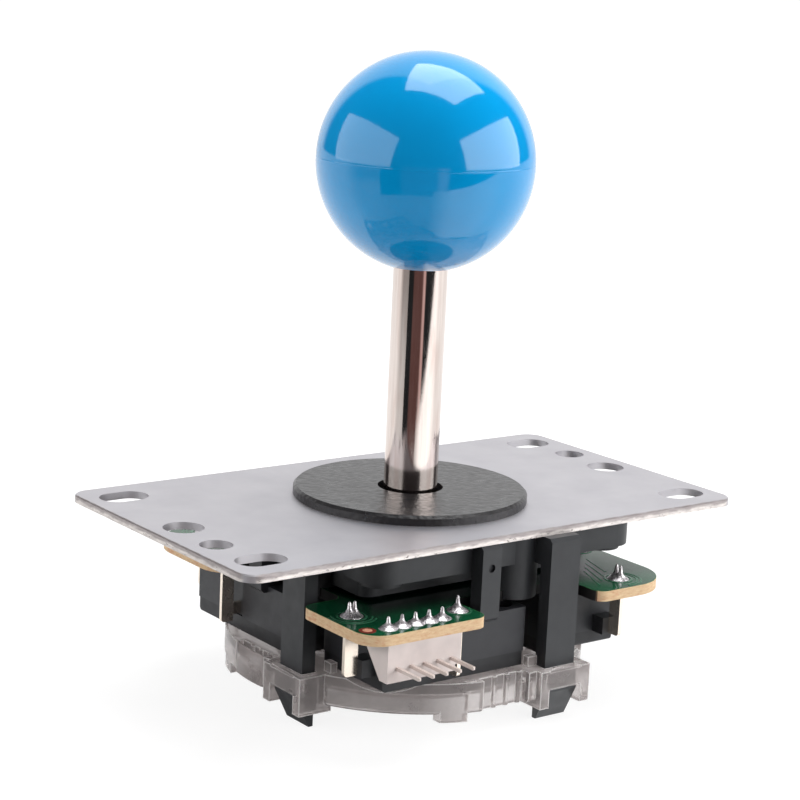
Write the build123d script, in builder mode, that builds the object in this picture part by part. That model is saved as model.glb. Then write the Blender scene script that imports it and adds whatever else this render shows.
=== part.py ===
from build123d import *
from math import acos, cos, degrees, radians, sqrt, tan
import os

# Arcade joystick lever, in millimetres, +Z up.
# The origin is the centre of the mounting plate's top face, which is the face that
# meets the control panel. X runs along the plate and -Y is the side with the connector.
# Below the plate the joystick repeats every quarter turn, so most features are drawn
# once on the -Y side (the front) and turned.

os.makedirs("parts", exist_ok=True)

# Mounting plate
plate_length = 97.0
plate_width = 53.0
plate_thick = 1.2
plate_corner = 3.0
plate_edge_break = 0.2
slot_length = 8.2
slot_width = 5.6
slot_end_inset = 6.5
slot_side_inset = 6.5
side_hole_d = 6.4
side_hole_inset = 5.5
small_hole_d = 5.1
small_hole_inset = 4.9
small_hole_y = 10.3
plate_bore_d = 20.0

# Lever
tilt = 6.0
pivot_z = -4.0
running_fit = 0.05
shaft_d = 8.8
neck_d = 7.0
shaft_end_z = -29.5
driver_slot_width = 1.2
driver_slot_depth = 1.3
stud_d = 6.0
stud_length = 11.6
ball_d = 35.0
ball_z = 54.5
ball_flat_z = 37.9
insert_d = 9.0
insert_length = 12.4
moulded_gap = 0.02

# Pivot ball and the bowl it sits in
pivot_d = 16.0
pivot_top_z = -1.4
pivot_bottom_z = -10.4
bowl_gap = 0.08
bowl_mouth_d = 11.2
bowl_flare_d = 13.0

# Dust washer
washer_d = 38.3
washer_thick = 1.6
washer_bevel = 0.45
washer_gap = 0.07

# Housing
slab_length = 49.2
slab_width = 48.6
slab_bottom_z = -5.8
slab_corner = 4.5
slab_wing_x = 28.7
slab_wing_width = 16.0
corner_boss_d = 6.6
corner_boss_height = 0.9
skirt_length = 43.0
skirt_width = 35.4
skirt_wall = 1.6
skirt_corner = 2.0
skirt_bottom_z = -9.6
boss_d = 22.0
boss_bottom_z = -11.0
leg_x = 9.3
leg_width = 6.0
leg_thick = 2.4
leg_face_y = -28.7
leg_bevel = 0.6
barb_reach = 0.9
barb_land = 0.6
tip_z = -31.0
tip_thick = 0.8
post_x = -4.2
post_width = 3.7
post_face_y = -27.0
post_back_y = -24.4
post_bottom_z = -13.5
dimple_d = 1.3
dimple_z = -4.8
column_d = 8.0
column_x = 4.9
column_face_y = -25.0
column_bottom_z = -11.6
column_gap = 0.1
rib_thick = 2.0
rib_bottom_z = -9.0
stand_d = 5.0
stand_x = 16.8
stand_y = 13.2

# Screws that hold the housing to the plate, hidden by the dust washer
screw_x = 12.5
screw_y = 11.5
screw_d = 3.0
screw_head_d = 5.5
screw_head_height = 1.8
screw_seat_z = -3.8
screw_top_z = -0.1
screw_gap = 0.05

# Circuit board
board_length = 61.8
board_width = 62.8
connector_tab_y = -32.4
board_top_z = -10.2
board_thick = 1.7
board_corner = 7.5
board_connector_corner = 4.0
board_bore = 26.0
board_bore_corner = 6.0
notch_left_x = -8.7
notch_right_x = 14.5
notch_floor_y = -23.0
notch_corner = 2.0
notch_post_corner = 5.5
pin_hole_gap = 0.1

# Microswitches, given for the front one
switch_depth = 15.9
switch_height = 9.6
switch_right_x = 4.5
switch_face_y = -25.7
switch_board_gap = 0.6
switch_stud_d = 2.4
switch_stud_left = (-20.3, -19.5)
switch_stud_right = (1.0, -15.5)
switch_corner = 0.6
cover_height = 2.4
cover_step = 0.3
cover_round = 0.6
switch_hole_d = 3.1
switch_hole_pitch = 22.2
switch_hole_inset = 2.8
switch_end_margin = 2.8
terminal_thick = 0.65
contact_x = -11.2
contact_outer_y = -28.8
contact_width = 2.2
contact_bottom_z = -20.5
recess_left_x = -14.5
recess_right_x = -9.5
recess_depth = 0.6
common_y = -22.3
common_outer_x = -28.2
common_width = 2.4
common_block_width = 3.0
common_block_height = 2.8
common_bottom_z = -19.6
terminal_foot_top_z = -17.4
terminal_foot_bottom_z = -19.4
terminal_pin_width = 1.2

# Switch plungers
plunger_width = 3.0
plunger_height = 2.4
plunger_z = -17.0
plunger_length = 4.0
plunger_tip_y = -8.45
plunger_travel = 0.6
plunger_gap = 0.1
plunger_round = 0.4

# Connector header
header_x = -20.7
header_width = 13.6
header_height = 5.8
header_bottom_depth = 1.9
header_back_y = -25.85
header_notch = 1.0
header_pins_count = 5
header_pitch = 2.5
header_pin = 0.5
header_pin_z = -15.6
header_pin_y = -29.7
header_pin_tip_y = -38.0

# Solder joints
solder_tip_d = 0.6
header_solder_d = 2.5
header_solder_height = 2.1
contact_solder_d = 3.1
contact_solder_height = 2.5
common_solder_d = 2.4
common_solder_height = 2.4
common_solder_pitch = 0.95

# Gate housing
gate_d = 59.0
gate_wall = 1.6
gate_floor = 2.0
gate_height = 5.1
gate_ring_wall = 1.4
gate_ledge = 2.0
gate_ledge_thick = 0.9
ear_wall = 1.8
ear_bar = 1.5
ear_bar_height = 3.3
ear_cheek_height = 6.1
ear_cheek_length = 6.0
leg_gap = 0.2
foot_left_x = -12.6
foot_right_x = -8.5
foot_height = 1.2
setback_left_x = -6.0
setback_right_x = 2.6
setback_depth = 1.9
flute_x = -0.6
flute_d = 0.9
flute_pitch = 2.4
lip_height = 1.6
lip_thick = 1.2
peg_gap = 0.1
peg_height = 2.6
ear_bevel = 0.3
gate_round = 0.8
scallop_r = 11.4
scallop_depth = 1.5
scallop_reach = 6.0
scallop_turn = -43.0

# Gate plate
gate_plate_d = 39.6
gate_plate_thick = 2.0
gate_plate_rim = 3.3
gate_hole_corner = 3.0
gate_gap = 0.1

# Actuator, spring and what holds them
actuator_d = 14.8
actuator_top_z = -15.2
actuator_step_z = -19.5
stem_d = 12.0
stem_bottom_z = -26.8
pocket_inner_d = 10.6
pocket_outer_d = 13.4
pocket_depth = 2.95
spring_d = 12.0
wire_d = 1.1
spring_turns = 3.4
retainer_inner_d = 10.4
retainer_outer_d = 17.2
retainer_thick = 0.8
shaft_washer_d = 12.0
shaft_washer_thick = 0.5
clip_thick = 0.7
clip_d = 10.4
clip_groove_d = 5.0

# Levels and sizes that follow from the ones above
slot_x = plate_length / 2 - slot_end_inset
slot_y = plate_width / 2 - slot_side_inset
side_hole_x = plate_length / 2 - side_hole_inset
small_hole_x = plate_length / 2 - small_hole_inset
diagonal_tilt = degrees(acos(cos(radians(tilt)) ** 2))
plate_bottom_z = -plate_thick
board_bottom_z = board_top_z - board_thick
switch_top_z = board_bottom_z - switch_board_gap
switch_bottom_z = switch_top_z - switch_height
seam_z = switch_bottom_z + cover_height
switch_length = switch_hole_pitch + 2 * switch_end_margin
switch_x = switch_right_x - switch_length / 2
switch_end_x = switch_right_x - switch_length
switch_y = switch_face_y + switch_depth / 2
switch_inner_y = switch_face_y + switch_depth
gate_top_z = switch_bottom_z
gate_bottom_z = gate_top_z - gate_height
barb_z = gate_top_z - ear_bar_height
gate_ring_d = gate_plate_d + 0.4
gate_plate_bottom_z = gate_bottom_z + gate_ledge_thick
shaft_washer_bottom_z = stem_bottom_z - shaft_washer_thick
clip_bottom_z = shaft_washer_bottom_z - clip_thick
retainer_bottom_z = boss_bottom_z - retainer_thick
pocket_floor_z = actuator_top_z - pocket_depth
washer_bore_d = 2 * (
    (washer_thick - pivot_z) * tan(radians(diagonal_tilt))
    + shaft_d / 2 / cos(radians(diagonal_tilt))
    + washer_gap
)
gate_hole = 2 * (
    (pivot_z - gate_plate_bottom_z) * tan(radians(tilt))
    + stem_d / 2 / cos(radians(tilt))
    + gate_gap
)
quarter_turns = {"front": 0, "right": 90, "back": 180, "left": 270}


def write(piece, name):
    """Label a finished piece and write it."""
    piece.part.label = name
    export_step(piece.part, f"parts/{name}.step")


def write_four(piece, name):
    """Write the front piece and its three copies, a quarter turn apart."""
    for side, turn in quarter_turns.items():
        with BuildPart() as turned:
            add(piece.part, rotation=(0, 0, turn))
        write(turned, f"{name}_{side}")


# Mounting plate: stamped steel with four slots and two pairs of side holes
with BuildPart() as mounting_plate:
    with BuildSketch(Plane.XY.offset(plate_bottom_z)):
        RectangleRounded(plate_length, plate_width, plate_corner)
        with GridLocations(2 * slot_x, 2 * slot_y, 2, 2):
            SlotOverall(slot_length, slot_width, mode=Mode.SUBTRACT)
        with GridLocations(2 * side_hole_x, 0, 2, 1):
            Circle(side_hole_d / 2, mode=Mode.SUBTRACT)
        with Locations((-small_hole_x, -small_hole_y), (small_hole_x, small_hole_y)):
            Circle(small_hole_d / 2, mode=Mode.SUBTRACT)
        with GridLocations(2 * screw_x, 2 * screw_y, 2, 2):
            Circle(screw_d / 2 + screw_gap, mode=Mode.SUBTRACT)
        Circle(plate_bore_d / 2, mode=Mode.SUBTRACT)
    extrude(amount=plate_thick)
    top_face = mounting_plate.faces().sort_by(Axis.Z)[-1]
    chamfer(top_face.outer_wire().edges(), plate_edge_break)
write(mounting_plate, "mounting_plate")

# Dust washer: lies on the plate, bored so that the tilted shaft just clears it
with BuildPart() as dust_washer:
    with BuildSketch():
        Circle(washer_d / 2)
        Circle(washer_bore_d / 2, mode=Mode.SUBTRACT)
    extrude(amount=washer_thick)
    rim = dust_washer.faces().sort_by(Axis.Z)[-1].outer_wire()
    chamfer(rim.edges(), washer_bevel)
write(dust_washer, "dust_washer")

# Shaft: turned from bar, with a stud for the ball, a neck for the pivot and actuator,
# a groove for the clip and a driver slot in the lower end
shaft_r = shaft_d / 2
neck_r = neck_d / 2
stud_r = stud_d / 2
groove_r = clip_groove_d / 2
with BuildPart() as shaft:
    with BuildSketch(Plane.XZ):
        with BuildLine():
            Polyline(
                (0, shaft_end_z),
                (neck_r - 0.5, shaft_end_z),
                (neck_r, shaft_end_z + 0.5),
                (neck_r, clip_bottom_z),
                (groove_r, clip_bottom_z),
                (groove_r, shaft_washer_bottom_z),
                (neck_r, shaft_washer_bottom_z),
                (neck_r, pivot_top_z),
                (shaft_r, pivot_top_z),
                (shaft_r, ball_flat_z),
                (stud_r, ball_flat_z),
                (stud_r, ball_flat_z + stud_length - 0.5),
                (stud_r - 0.5, ball_flat_z + stud_length),
                (0, ball_flat_z + stud_length),
                close=True,
            )
        make_face()
    revolve(axis=Axis.Z)
    with BuildSketch(Plane.XY.offset(shaft_end_z)):
        Rectangle(neck_d + 1, driver_slot_width)
    extrude(amount=driver_slot_depth, mode=Mode.SUBTRACT)
write(shaft, "shaft")

# Ball top, with a moulded-in threaded insert that stands on the shaft's shoulder
with BuildPart() as ball_top:
    with Locations((0, 0, ball_z)):
        Sphere(ball_d / 2)
    split(bisect_by=Plane.XY.offset(ball_flat_z), keep=Keep.TOP)
    fillet(ball_top.edges().filter_by(GeomType.CIRCLE).sort_by(Axis.Z)[0], 0.5)
    with BuildSketch(Plane.XY.offset(ball_flat_z)):
        Circle(insert_d / 2 + moulded_gap)
    extrude(amount=insert_length, mode=Mode.SUBTRACT)
write(ball_top, "ball_top")

with BuildPart() as ball_insert:
    with BuildSketch(Plane.XY.offset(ball_flat_z)):
        Circle(insert_d / 2)
        Circle(stud_r + moulded_gap, mode=Mode.SUBTRACT)
    extrude(amount=insert_length)
write(ball_insert, "ball_insert")

# Pivot: a ball cut flat above and below, on which the lever tilts
with BuildPart() as pivot:
    with Locations((0, 0, pivot_z)):
        Sphere(pivot_d / 2)
    split(bisect_by=Plane.XY.offset(pivot_top_z), keep=Keep.BOTTOM)
    split(bisect_by=Plane.XY.offset(pivot_bottom_z), keep=Keep.TOP)
    with Locations((0, 0, pivot_z)):
        Hole(neck_r + running_fit)
write(pivot, "pivot")

# One side of the housing: hook leg, post, half column and rib
leg_inner_y = leg_face_y + leg_thick
with BuildPart() as housing_side:
    with BuildSketch(Plane.YZ.offset(leg_x)):
        with BuildLine():
            Polyline(
                (leg_inner_y, plate_bottom_z),
                (leg_face_y + leg_bevel, plate_bottom_z),
                (leg_face_y, plate_bottom_z - leg_bevel),
                (leg_face_y, barb_z),
                (leg_face_y - barb_reach, barb_z),
                (leg_face_y - barb_reach, barb_z - barb_land),
                (leg_inner_y - tip_thick, tip_z),
                (leg_inner_y, tip_z),
                close=True,
            )
        make_face()
    extrude(amount=leg_width / 2, both=True)
    with BuildSketch(Plane.YZ.offset(post_x)):
        with BuildLine():
            Polyline(
                (post_face_y + leg_bevel, plate_bottom_z),
                (post_face_y, plate_bottom_z - leg_bevel),
                (post_face_y, post_bottom_z + leg_bevel),
                (post_face_y + leg_bevel, post_bottom_z),
                (switch_face_y, post_bottom_z),
                (switch_face_y, switch_top_z),
                (post_back_y, switch_top_z),
                (post_back_y, slab_bottom_z),
                (-boss_d / 2, slab_bottom_z),
                (-boss_d / 2, plate_bottom_z),
                close=True,
            )
        make_face()
    extrude(amount=post_width / 2, both=True)
    with BuildSketch(Plane.XZ.offset(-post_face_y)):
        with Locations((post_x, dimple_z)):
            Circle(dimple_d / 2)
    extrude(amount=-0.5, mode=Mode.SUBTRACT)
    with BuildSketch(Plane.XY.offset(plate_bottom_z)):
        with Locations((column_x, column_face_y + column_d / 2)):
            Circle(column_d / 2)
    extrude(amount=board_top_z - plate_bottom_z)
    with BuildSketch(Plane.XY.offset(board_top_z)):
        with Locations((column_x, column_face_y + column_d / 2)):
            Circle(column_d / 2)
        with Locations((column_x, notch_floor_y - column_gap)):
            Rectangle(column_d, column_d, align=(Align.CENTER, Align.MAX), mode=Mode.INTERSECT)
    extrude(amount=column_bottom_z - board_top_z)
    with BuildSketch(Plane.XY.offset(slab_bottom_z)):
        with Locations((column_x, column_face_y + column_d / 2)):
            Rectangle(rib_thick, -column_face_y - boss_d / 2, align=(Align.CENTER, Align.MIN))
    extrude(amount=rib_bottom_z - slab_bottom_z)

# Housing: slab under the plate with two wings, a skirt and stands that meet the board,
# the four sides, and the boss with the pivot bowl
pivot_r = pivot_d / 2
bowl_r = pivot_r + bowl_gap
mouth_r = bowl_mouth_d / 2
mouth_z = pivot_z - sqrt(bowl_r**2 - mouth_r**2)
slab_half_length = slab_length / 2
slab_half_width = slab_width / 2
with BuildPart() as housing:
    with BuildSketch(Plane.XY.offset(plate_bottom_z)) as slab_outline:
        Rectangle(slab_length, slab_width)
        with PolarLocations(0, 2):
            with Locations((slab_wing_x, -slab_half_width)):
                Rectangle(slab_wing_x, slab_wing_width, align=(Align.MAX, Align.MIN))
        fillet(
            slab_outline.vertices().filter_by(
                lambda corner: abs(corner.Y) > slab_half_width - 0.1
            ),
            slab_corner,
        )
        with PolarLocations(0, 4):
            with Locations((leg_x, leg_inner_y)):
                Rectangle(leg_width, -leg_inner_y - boss_d / 2, align=(Align.CENTER, Align.MIN))
    extrude(amount=slab_bottom_z - plate_bottom_z)
    with BuildSketch(Plane.XY.offset(slab_bottom_z)):
        with PolarLocations(0, 2):
            with Locations(
                (slab_corner - slab_half_length, slab_corner - slab_half_width),
                (slab_wing_x - slab_corner, slab_corner - slab_half_width),
            ):
                Circle(corner_boss_d / 2)
    extrude(amount=-corner_boss_height)
    with BuildSketch(Plane.XY.offset(slab_bottom_z)):
        RectangleRounded(skirt_length, skirt_width, skirt_corner)
        RectangleRounded(
            skirt_length - 2 * skirt_wall,
            skirt_width - 2 * skirt_wall,
            skirt_corner - skirt_wall,
            mode=Mode.SUBTRACT,
        )
    extrude(amount=skirt_bottom_z - slab_bottom_z)
    with BuildSketch(Plane.XY.offset(slab_bottom_z)):
        Circle(boss_d / 2)
    extrude(amount=boss_bottom_z - slab_bottom_z)
    with BuildSketch(Plane.XY.offset(slab_bottom_z)):
        with GridLocations(2 * stand_x, 2 * stand_y, 2, 2):
            Circle(stand_d / 2)
    extrude(amount=board_top_z - slab_bottom_z)
    with PolarLocations(0, 4):
        add(housing_side.part)
    with BuildSketch(Plane.XZ):
        with BuildLine():
            Polyline(
                (mouth_r, mouth_z),
                (bowl_flare_d / 2, boss_bottom_z),
                (0, boss_bottom_z),
                (0, plate_bottom_z),
                (bowl_r, plate_bottom_z),
                (bowl_r, pivot_z),
            )
            RadiusArc((bowl_r, pivot_z), (mouth_r, mouth_z), bowl_r)
        make_face()
    revolve(axis=Axis.Z, mode=Mode.SUBTRACT)
    with BuildSketch(Plane.XY.offset(slab_bottom_z)):
        with GridLocations(2 * screw_x, 2 * screw_y, 2, 2):
            Circle(screw_head_d / 2 + 0.3)
    extrude(amount=screw_seat_z - slab_bottom_z, mode=Mode.SUBTRACT)
    with BuildSketch(Plane.XY.offset(screw_seat_z)):
        with GridLocations(2 * screw_x, 2 * screw_y, 2, 2):
            Circle(screw_d / 2 + screw_gap)
    extrude(amount=plate_bottom_z - screw_seat_z, mode=Mode.SUBTRACT)
write(housing, "housing")

# Four screws, driven up through the housing into the plate
with BuildPart() as plate_screws:
    with BuildSketch(Plane.XY.offset(screw_seat_z)):
        with GridLocations(2 * screw_x, 2 * screw_y, 2, 2):
            Circle(screw_head_d / 2)
    extrude(amount=-screw_head_height)
    chamfer(plate_screws.faces().group_by(Axis.Z)[0].edges(), 0.4)
    with BuildSketch(Plane.XY.offset(screw_seat_z)):
        with GridLocations(2 * screw_x, 2 * screw_y, 2, 2):
            Circle(screw_d / 2)
    extrude(amount=screw_top_z - screw_seat_z)
write(plate_screws, "plate_screws")

# Circuit board: a notch in each side for the housing's leg, post and column, and a tab
# that carries the connector
half_board_length = board_length / 2
half_board_width = board_width / 2
contact_pin_y = contact_outer_y + contact_width / 2
common_pin_x = common_outer_x + common_width / 2
with BuildPart() as circuit_board:
    with BuildSketch(Plane.XY.offset(board_bottom_z)) as board_outline:
        Rectangle(board_length, board_width)
        fillet(board_outline.vertices().sort_by(lambda corner: corner.X + corner.Y)[1:], board_corner)
        with Locations((-half_board_length, connector_tab_y)):
            Rectangle(
                half_board_length + notch_left_x, half_board_width, align=(Align.MIN, Align.MIN)
            )
        fillet(
            board_outline.vertices().sort_by(lambda corner: corner.X + corner.Y)[0],
            board_connector_corner,
        )
        with PolarLocations(0, 4):
            with Locations((notch_left_x, notch_floor_y)):
                RectangleRounded(
                    notch_right_x - notch_left_x,
                    half_board_width,
                    notch_corner,
                    align=(Align.MIN, Align.MAX),
                    mode=Mode.SUBTRACT,
                )
        for corner_x, corner_r in ((-notch_left_x, notch_post_corner), (notch_right_x, notch_corner)):
            notch_ends = board_outline.vertices().filter_by(
                lambda point: abs(min(abs(point.X), abs(point.Y)) - corner_x) < 0.1
                and half_board_length - 0.1 < max(abs(point.X), abs(point.Y)) < 0.1 + half_board_width
            )
            fillet(notch_ends, corner_r)
        tab_ends = board_outline.vertices().filter_by(lambda point: point.Y < connector_tab_y + 0.1)
        fillet(tab_ends.sort_by(Axis.X)[-1], notch_corner)
        RectangleRounded(board_bore, board_bore, board_bore_corner, mode=Mode.SUBTRACT)
        with PolarLocations(0, 4):
            with Locations((contact_x, contact_pin_y)):
                Rectangle(
                    terminal_thick + 2 * pin_hole_gap,
                    terminal_pin_width + 2 * pin_hole_gap,
                    mode=Mode.SUBTRACT,
                )
            with Locations((common_pin_x, common_y)):
                Rectangle(
                    terminal_pin_width + 2 * pin_hole_gap,
                    terminal_thick + 2 * pin_hole_gap,
                    mode=Mode.SUBTRACT,
                )
        with Locations((header_x, header_pin_y)):
            with GridLocations(header_pitch, 0, header_pins_count, 1):
                Rectangle(
                    header_pin + 2 * pin_hole_gap,
                    header_pin + 2 * pin_hole_gap,
                    mode=Mode.SUBTRACT,
                )
    extrude(amount=board_thick)
write(circuit_board, "circuit_board")

# Switch case: upper part of the front microswitch, with two studs that meet the board
# and a block that the common terminal comes out of
terminal_half = terminal_thick / 2
plunger_room = plunger_travel + 0.15
with BuildPart() as switch_case:
    with BuildSketch(Plane.XY.offset(seam_z)) as case_outline:
        with Locations((switch_x, switch_y)):
            RectangleRounded(switch_length, switch_depth, switch_corner)
        with Locations((recess_left_x, switch_face_y)):
            Rectangle(
                recess_right_x - recess_left_x,
                recess_depth,
                align=(Align.MIN, Align.MIN),
                mode=Mode.SUBTRACT,
            )
        with Locations((switch_x, switch_face_y + switch_hole_inset)):
            with GridLocations(switch_hole_pitch, 0, 2, 1):
                Circle(switch_hole_d / 2, mode=Mode.SUBTRACT)
    extrude(amount=switch_height - cover_height)
    with BuildSketch(Plane.XY.offset(switch_top_z)):
        with Locations(switch_stud_left, switch_stud_right):
            Circle(switch_stud_d / 2)
    extrude(amount=switch_board_gap)
    with BuildSketch(Plane.YZ.offset(switch_end_x)):
        with Locations((common_y, (terminal_foot_top_z + terminal_foot_bottom_z) / 2)):
            Rectangle(common_block_width, common_block_height)
            Rectangle(
                terminal_thick,
                terminal_foot_top_z - terminal_foot_bottom_z,
                mode=Mode.SUBTRACT,
            )
    extrude(amount=common_outer_x + common_width - switch_end_x)
    with BuildSketch(Plane.XZ.offset(-switch_inner_y)):
        with Locations((0, plunger_z)):
            Rectangle(plunger_width + 2 * plunger_gap, plunger_height + 2 * plunger_gap)
    plunger_back_y = plunger_tip_y - plunger_length
    extrude(amount=switch_inner_y - plunger_back_y + plunger_room, mode=Mode.SUBTRACT)
write_four(switch_case, "switch_case")

# Switch cover: lower part, a little smaller than the case so that the seam shows
with BuildPart() as switch_cover:
    with BuildSketch(Plane.XY.offset(switch_bottom_z)):
        with Locations((switch_x, switch_y)):
            Rectangle(switch_length - 2 * cover_step, switch_depth - 2 * cover_step)
        with Locations((switch_x, switch_face_y + switch_hole_inset)):
            with GridLocations(switch_hole_pitch, 0, 2, 1):
                Circle(switch_hole_d / 2, mode=Mode.SUBTRACT)
    extrude(amount=cover_height)
    bottom_edges = switch_cover.faces().sort_by(Axis.Z)[0].outer_wire().edges()
    fillet(bottom_edges.filter_by(Axis.Y).sort_by(Axis.X)[0], cover_round)
write_four(switch_cover, "switch_cover")

# Contact terminal: stamped strip that stands out of the case and turns up to the board
foot_inner_y = switch_face_y + recess_depth
with BuildPart() as contact_terminal:
    with BuildSketch(Plane.YZ.offset(contact_x)):
        with BuildLine():
            Polyline(
                (contact_outer_y, contact_bottom_z),
                (contact_outer_y + contact_width, contact_bottom_z),
                (contact_outer_y + contact_width, terminal_foot_bottom_z),
                (foot_inner_y, terminal_foot_bottom_z),
                (foot_inner_y, terminal_foot_top_z),
                (contact_outer_y + contact_width, terminal_foot_top_z),
                (contact_outer_y + contact_width, board_bottom_z),
                (contact_pin_y + terminal_pin_width / 2, board_bottom_z),
                (contact_pin_y + terminal_pin_width / 2, board_top_z),
                (contact_pin_y - terminal_pin_width / 2, board_top_z),
                (contact_pin_y - terminal_pin_width / 2, board_bottom_z),
                (contact_outer_y, board_bottom_z),
                close=True,
            )
        make_face()
    extrude(amount=terminal_half, both=True)
    lower_corner = contact_terminal.edges().filter_by(Axis.X).sort_by(Axis.Z)[:2]
    fillet(lower_corner.sort_by(Axis.Y)[0], 0.6)
write_four(contact_terminal, "contact_terminal")

# Common terminal: the same kind of strip, out of the end of the case
with BuildPart() as common_terminal:
    with BuildSketch(Plane.XZ.offset(-common_y)):
        with BuildLine():
            Polyline(
                (common_outer_x, common_bottom_z),
                (common_outer_x + common_width, common_bottom_z),
                (common_outer_x + common_width, terminal_foot_bottom_z),
                (switch_end_x, terminal_foot_bottom_z),
                (switch_end_x, terminal_foot_top_z),
                (common_outer_x + common_width, terminal_foot_top_z),
                (common_outer_x + common_width, board_bottom_z),
                (common_pin_x + terminal_pin_width / 2, board_bottom_z),
                (common_pin_x + terminal_pin_width / 2, board_top_z),
                (common_pin_x - terminal_pin_width / 2, board_top_z),
                (common_pin_x - terminal_pin_width / 2, board_bottom_z),
                (common_outer_x, board_bottom_z),
                close=True,
            )
        make_face()
    extrude(amount=terminal_half, both=True)
    lower_corner = common_terminal.edges().filter_by(Axis.Y).sort_by(Axis.Z)[:2]
    fillet(lower_corner.sort_by(Axis.X)[0], 0.6)
write_four(common_terminal, "common_terminal")

# Plunger: slides in the case and is pressed by the actuator
with BuildPart() as switch_plunger:
    with BuildSketch(Plane.XZ.offset(-plunger_tip_y)):
        with Locations((0, plunger_z)):
            Rectangle(plunger_width, plunger_height)
    extrude(amount=plunger_length)
    tip_face = switch_plunger.faces().sort_by(Axis.Y)[-1]
    fillet(tip_face.edges().filter_by(Axis.X), plunger_round)
write_four(switch_plunger, "switch_plunger")

# Header pins: five square pins, out of the front of the header and up through the board
half_pin = header_pin / 2
with BuildPart() as header_pins:
    with BuildSketch(Plane.YZ.offset(header_x)):
        with BuildLine():
            Polyline(
                (header_pin_tip_y, header_pin_z - half_pin),
                (header_pin_y + half_pin, header_pin_z - half_pin),
                (header_pin_y + half_pin, board_top_z),
                (header_pin_y - half_pin, board_top_z),
                (header_pin_y - half_pin, header_pin_z + half_pin),
                (header_pin_tip_y, header_pin_z + half_pin),
                close=True,
            )
        make_face()
    extrude(amount=half_pin, both=True)
    chamfer(header_pins.faces().sort_by(Axis.Y)[0].edges(), 0.15)

with BuildPart() as header_pin_row:
    with GridLocations(header_pitch, 0, header_pins_count, 1):
        add(header_pins.part)
write(header_pin_row, "header_pins")

# Connector header: plain block under the board's edge, its back sloping away from the switch
with BuildPart() as connector_header:
    with BuildSketch(Plane.YZ.offset(header_x)):
        with BuildLine():
            Polyline(
                (connector_tab_y, board_bottom_z),
                (connector_tab_y, board_bottom_z - header_height),
                (connector_tab_y + header_bottom_depth, board_bottom_z - header_height),
                (header_back_y, board_bottom_z),
                close=True,
            )
        make_face()
    extrude(amount=header_width / 2, both=True)
    with BuildSketch(Plane.XZ.offset(-connector_tab_y)):
        with Locations((header_x + header_width / 2, board_bottom_z - header_height)):
            Rectangle(header_notch, header_notch, align=(Align.MAX, Align.MIN))
    extrude(amount=-header_bottom_depth, mode=Mode.SUBTRACT)
    add(header_pin_row.part, mode=Mode.SUBTRACT)
write(connector_header, "connector_header")

# Solder joints: cones on the header's pins and the contact terminals, and two that run
# together on each common terminal
def solder_cone(base_d, height):
    """A joint that narrows from a round base to a rounded tip."""
    base_r = base_d / 2
    tip_r = solder_tip_d / 2
    waist_r = tip_r + 0.4 * (base_r - tip_r)
    with BuildPart() as cone:
        with BuildSketch(Plane.XZ):
            with BuildLine():
                Polyline((0, height), (0, 0), (base_r, 0))
                ThreePointArc((base_r, 0), (waist_r, 0.4 * height), (tip_r, height - tip_r))
                RadiusArc((tip_r, height - tip_r), (0, height), -tip_r)
            make_face()
        revolve(axis=Axis.Z)
    return cone.part


header_cone = solder_cone(header_solder_d, header_solder_height)
contact_cone = solder_cone(contact_solder_d, contact_solder_height)
common_cone = solder_cone(common_solder_d, common_solder_height)
with BuildPart() as solder_joints:
    with Locations((header_x, header_pin_y, board_top_z)):
        with GridLocations(header_pitch, 0, header_pins_count, 1):
            add(header_cone)
    with PolarLocations(0, 4):
        with Locations((contact_x, contact_pin_y, board_top_z)):
            add(contact_cone)
        with Locations((common_pin_x, common_y, board_top_z)):
            with GridLocations(common_solder_pitch, 0, 2, 1):
                add(common_cone)
write(solder_joints, "solder_joints")

# One side of the gate housing: the ear that the hook leg snaps through, a foot on the
# wall, two lips that steady the switches and a peg in the switch's mounting hole
gate_r = gate_d / 2
ear_face_y = leg_face_y - leg_gap - ear_bar
ear_half = leg_width / 2 + leg_gap + ear_wall
with BuildPart() as gate_side:
    with BuildSketch(Plane.XY.offset(gate_top_z)):
        with Locations((leg_x, ear_face_y)):
            Rectangle(2 * ear_half, ear_bar, align=(Align.CENTER, Align.MIN))
    extrude(amount=-ear_bar_height)
    chamfer(gate_side.faces().sort_by(Axis.Y)[0].edges(), ear_bevel)
    with BuildSketch(Plane.XY.offset(gate_top_z)):
        with Locations((leg_x, ear_face_y)):
            with GridLocations(2 * ear_half - ear_wall, 0, 2, 1):
                Rectangle(ear_wall, ear_cheek_length, align=(Align.CENTER, Align.MIN))
    extrude(amount=-ear_cheek_height)
    with BuildSketch(Plane.XY.offset(gate_bottom_z + gate_round)):
        Circle(gate_r)
        Circle(gate_r - gate_wall, mode=Mode.SUBTRACT)
        with Locations((foot_left_x, -gate_r)):
            Rectangle(
                foot_right_x - foot_left_x,
                gate_r / 2,
                align=(Align.MIN, Align.MIN),
                mode=Mode.INTERSECT,
            )
    extrude(amount=-foot_height - gate_round)
    with BuildSketch(Plane.XY.offset(gate_top_z)):
        with Locations((leg_x - ear_half, switch_face_y)):
            Rectangle(ear_wall, lip_thick, align=(Align.MIN, Align.MAX))
        with Locations((leg_x + ear_half - ear_wall, switch_end_x - 0.2)):
            Rectangle(ear_wall, lip_thick, align=(Align.MIN, Align.MAX))
    extrude(amount=lip_height)
    with BuildSketch(Plane.XY.offset(gate_top_z)):
        with Locations((switch_x + switch_hole_pitch / 2, switch_face_y + switch_hole_inset)):
            Circle(switch_hole_d / 2 - peg_gap)
    extrude(amount=peg_height)

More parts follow.
